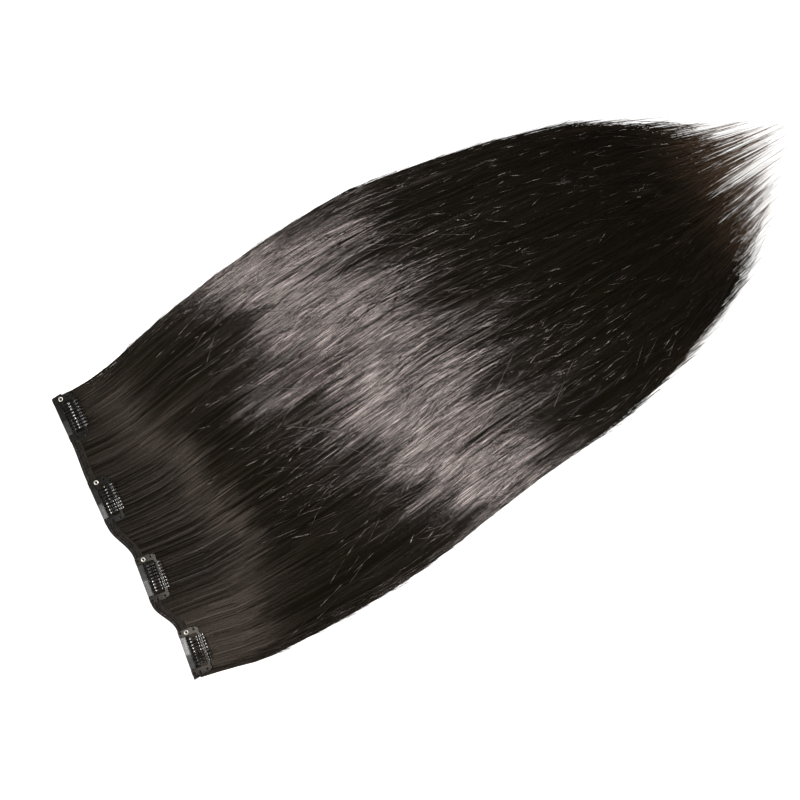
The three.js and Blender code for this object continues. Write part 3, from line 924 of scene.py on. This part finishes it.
def place_on_clip(number):
    """Where a clip's own frame lies on the band: across it, along it and up, in metres."""
    y, x, turn = CLIPS[number]
    spot = Matrix.Translation((x + SHIFT[0], y + SHIFT[1], CLIP_BED))
    return Matrix.Scale(MM, 4) @ spot @ Matrix.Rotation(-math.radians(turn), 4, "Z")


def clip_piece(kind, shape, number, finish, body):
    """One clip's copy of a piece that was drawn in the clip's own frame."""
    name = f"clip_{number + 1}_{kind}"
    mesh = shape.copy()
    mesh.name = name
    mesh.transform(place_on_clip(number))
    mesh.shade_smooth()
    piece = new_object("snap_" + name, mesh, finish)
    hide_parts(name)
    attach(piece, body)
    return piece


upper_outer, upper_inner = frame_half(1)
lower_outer, lower_inner = frame_half(-1)
bm = bmesh.new()
rims = add_loop(bm, upper_outer + lower_outer[::-1] + lower_inner + upper_inner[::-1])
for end in (1, -1):
    for across, along in SEWING_HOLES:
        rims += add_loop(bm, ring_points((across, end * along), SEWING_HOLE_RADIUS))
rims += add_loop(bm, ring_points(EYELET_PLACE, EYELET_HOLE))
bmesh.ops.triangle_fill(bm, edges=rims, use_beauty=True, use_dissolve=False)
raised = bmesh.ops.extrude_face_region(bm, geom=bm.faces[:])["geom"]
raised = [element for element in raised if isinstance(element, bmesh.types.BMVert)]
bmesh.ops.translate(bm, vec=(0, 0, CLIP_SHEET), verts=raised)
bmesh.ops.recalc_face_normals(bm, faces=bm.faces)
frame_shape = to_mesh(bm, "frame_shape")

ENAMEL = (0.006, 0.006, 0.0065, 1.0)
ENAMEL_THIN = (0.03, 0.03, 0.031, 1.0)
ENAMEL_CLOUDS = 260.0
ORANGE_PEEL = 1500.0
PEEL_DEPTH = 0.05 * MM
black_enamel, shader, start = new_finish("black_enamel")
place = start.make("TexCoord", {}, {}, "Object")
cloud = start.make("TexNoise", {}, {"Vector": place, "Scale": ENAMEL_CLOUDS, "Detail": 4.0})
orange_peel = start.make("TexNoise", {}, {"Vector": place, "Scale": ORANGE_PEEL, "Detail": 2.0})
ripple = start.make("Bump", {}, {"Height": orange_peel, "Strength": 0.12, "Distance": PEEL_DEPTH})
start.feed(shader, {"Base Color": start.mix(cloud, ENAMEL, ENAMEL_THIN), "Roughness": 0.13 + 0.1 * cloud})
start.feed(shader, {"Normal": ripple, "Metallic": 0.25, "Coat Weight": 0.5, "Coat Roughness": 0.1})
for number in range(len(CLIPS)):
    plate = clip_piece("frame", frame_shape, number, black_enamel, "weft")
    sheet_edges(plate, CLIP_EDGE)

# Snap clip, comb: the lever of the clip, a creased spine with nine wavy teeth that snap down over the bar.
# It is cut from one strip of enamelled sheet: the gaps between the teeth are taken out and the whole is bent
# to its side line.
TEETH = 9
TOOTH_PITCH = 2.2
TOOTH_WIDTH = 1.1
TOOTH_BLUNT = 0.1
TOOTH_LINES = 3  # two edges and a middle
COMB_SHEET = 0.5
COMB_EDGE = 0.08
SPINE_HALF = 11.1
SPINE_ROWS = 6
TOOTH_ROWS = 26
CREASE_ALONG = -0.5
CREASE_RISE = 0.45
COMB_LINE = np.array([
    # across the clip, up
    (0.1, 0.64),
    (2.2, 1.13),
    (4.2, 1.6),
    (7.3, 2.52),
    (8.8, 2.4),
    (11.0, 1.75),
    (13.6, 2.45),
    (15.2, 1.75),
    (16.8, 2.1),
])
columns = [-SPINE_HALF]
for k in range(TEETH):
    middle = (k - (TEETH - 1) / 2) * TOOTH_PITCH
    columns += [middle - TOOTH_WIDTH / 2, middle, middle + TOOTH_WIDTH / 2]
columns.append(SPINE_HALF)
spine_end = COMB_LINE[2, 0]
rows = np.concatenate([
    np.linspace(COMB_LINE[0, 0], spine_end, SPINE_ROWS),
    np.linspace(spine_end, COMB_LINE[-1, 0], TOOTH_ROWS + 1)[1:],
])
line_slopes = np.gradient(COMB_LINE[:, 1], COMB_LINE[:, 0])
bm = bmesh.new()
bmesh.ops.create_grid(bm, x_segments=len(rows) - 1, y_segments=len(columns) - 1, size=0.5)
gaps = []
for face in bm.faces:
    middle = face.calc_center_median()
    row = int((middle.x + 0.5) * (len(rows) - 1))
    column = int((middle.y + 0.5) * (len(columns) - 1))
    if row >= SPINE_ROWS - 1 and column % TOOTH_LINES == 0:
        gaps.append(face)
bmesh.ops.delete(bm, geom=gaps, context="FACES")
for vertex in bm.verts:
    across = rows[round((vertex.co.x + 0.5) * (len(rows) - 1))]
    along = columns[round((vertex.co.y + 0.5) * (len(columns) - 1))]
    tooth = round(along / TOOTH_PITCH) * TOOTH_PITCH
    to_tip = (COMB_LINE[-1, 0] - across) / TOOTH_WIDTH
    if to_tip < 0.5:
        along = tooth + (along - tooth) * math.sqrt(max(1 - (1 - 2 * to_tip) ** 2, TOOTH_BLUNT))
    crease = CREASE_RISE * (1 - abs(along - CREASE_ALONG) / (SPINE_HALF + abs(CREASE_ALONG)))
    height = float(curve_through(np.array(across), COMB_LINE[:, 0], COMB_LINE[:, 1], line_slopes))
    vertex.co = (across, along, height + crease)
bmesh.ops.recalc_face_normals(bm, faces=bm.faces)
if sum(face.normal.z for face in bm.faces) < 0:
    bmesh.ops.reverse_faces(bm, faces=bm.faces)
bmesh.ops.solidify(bm, geom=bm.faces[:], thickness=COMB_SHEET)
bmesh.ops.recalc_face_normals(bm, faces=bm.faces)
comb_shape = to_mesh(bm, "comb_shape")
for number in range(len(CLIPS)):
    lever = clip_piece("comb", comb_shape, number, black_enamel, f"clip_{number + 1}_lever")
    sheet_edges(lever, COMB_EDGE)

# Snap clip, eyelet: a small nickel-plated tube rivet in one end plate, its upper rim rolled over the sheet.
# It is turned from its side line.
EYELET_STEPS = 36
EYELET_CORNER = math.radians(60)
EYELET_LINE = [
    # radius, up
    (0.72, 0.05),
    (1.0, 0.05),
    (1.0, 1.0),
    (1.5, 1.0),
    (1.62, 1.08),
    (1.65, 1.22),
    (1.55, 1.38),
    (1.32, 1.5),
    (1.08, 1.51),
    (0.88, 1.42),
    (0.76, 1.28),
    (0.72, 1.1),
]
bm = bmesh.new()
side_line = [bm.verts.new((EYELET_PLACE[0] + radius, EYELET_PLACE[1], up)) for radius, up in EYELET_LINE]
edges = [bm.edges.new((a, b)) for a, b in zip(side_line, side_line[1:] + side_line[:1])]
bmesh.ops.spin(bm, geom=side_line + edges, cent=(*EYELET_PLACE, 0), axis=(0, 0, 1), angle=2 * math.pi,
               steps=EYELET_STEPS, use_merge=True)
bmesh.ops.remove_doubles(bm, verts=bm.verts, dist=MERGE_WITHIN)
bmesh.ops.recalc_face_normals(bm, faces=bm.faces)
eyelet_shape = to_mesh(bm, "eyelet_shape")

NICKEL = (0.95, 0.93, 0.88, 1.0)
NICKEL_DULL = (0.75, 0.72, 0.66, 1.0)
TARNISH = 900.0
bright_nickel, shader, start = new_finish("bright_nickel")
place = start.make("TexCoord", {}, {}, "Object")
tarnish = start.make("TexNoise", {}, {"Vector": place, "Scale": TARNISH, "Detail": 4.0})
start.feed(shader, {"Base Color": start.mix(tarnish, NICKEL, NICKEL_DULL), "Roughness": 0.28 + 0.2 * tarnish})
start.feed(shader, {"Metallic": 1.0})
for number in range(len(CLIPS)):
    rivet = clip_piece("eyelet", eyelet_shape, number, bright_nickel, "weft")
    rivet.data.set_sharp_from_angle(angle=EYELET_CORNER)

# Sewing of the clips: black thread drawn three times through each hole and over the end of the plate.
# It goes down into the band at the root edge and into the hair by the bar.
LOOP_STEPS = 11
LOOP_TURNS = 3
LOOP_PITCH = 0.34
LOOP_RADIUS = 0.16
LOOP_CLEAR = 0.12
LOOP_TOP = CLIP_SHEET + LOOP_RADIUS + LOOP_CLEAR


def loop_route(across, along, offset):
    """Corners of one turn of thread on the clip: up through the hole, over the plate's end and down."""
    return np.array([
        (across + 0.2 * offset, along, -0.3),
        (across + 0.3 * offset, along + 0.1, LOOP_TOP * 0.75),
        (across + 0.8 * offset, along + 0.7, LOOP_TOP),
        (across + offset, CLIP_HALF - 0.1, LOOP_TOP),
        (across + offset, CLIP_HALF + 0.28, LOOP_TOP * 0.4),
        (across + offset, CLIP_HALF + 0.3, -0.5),
        (across + 0.8 * offset, CLIP_HALF - 0.4, -0.9),
    ])


loops = []
for number in range(len(CLIPS)):
    lie = place_on_clip(number)
    for end in (1, -1):
        for across, along in SEWING_HOLES:
            for turn in range(LOOP_TURNS):
                line = loop_route(across, along, (turn - (LOOP_TURNS - 1) / 2) * LOOP_PITCH)
                line[:, 1] *= end
                knots = np.arange(len(line), dtype=float)
                at = np.linspace(0, len(line) - 1, LOOP_STEPS)
                bent = [curve_through(at, knots, line[:, k], np.gradient(line[:, k])) for k in range(3)]
                loops.append([tuple(lie @ Vector(point) / MM) for point in zip(*bent)])
paths = np.array(loops)
radii = np.full(paths.shape[:2], LOOP_RADIUS)
sewing_mesh = fibre_mesh("clip_sewing", paths, radii, ROUND_SECTION, {})
clip_sewing = new_object("clip_sewing", sewing_mesh, sewing_thread)
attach(clip_sewing, "weft")
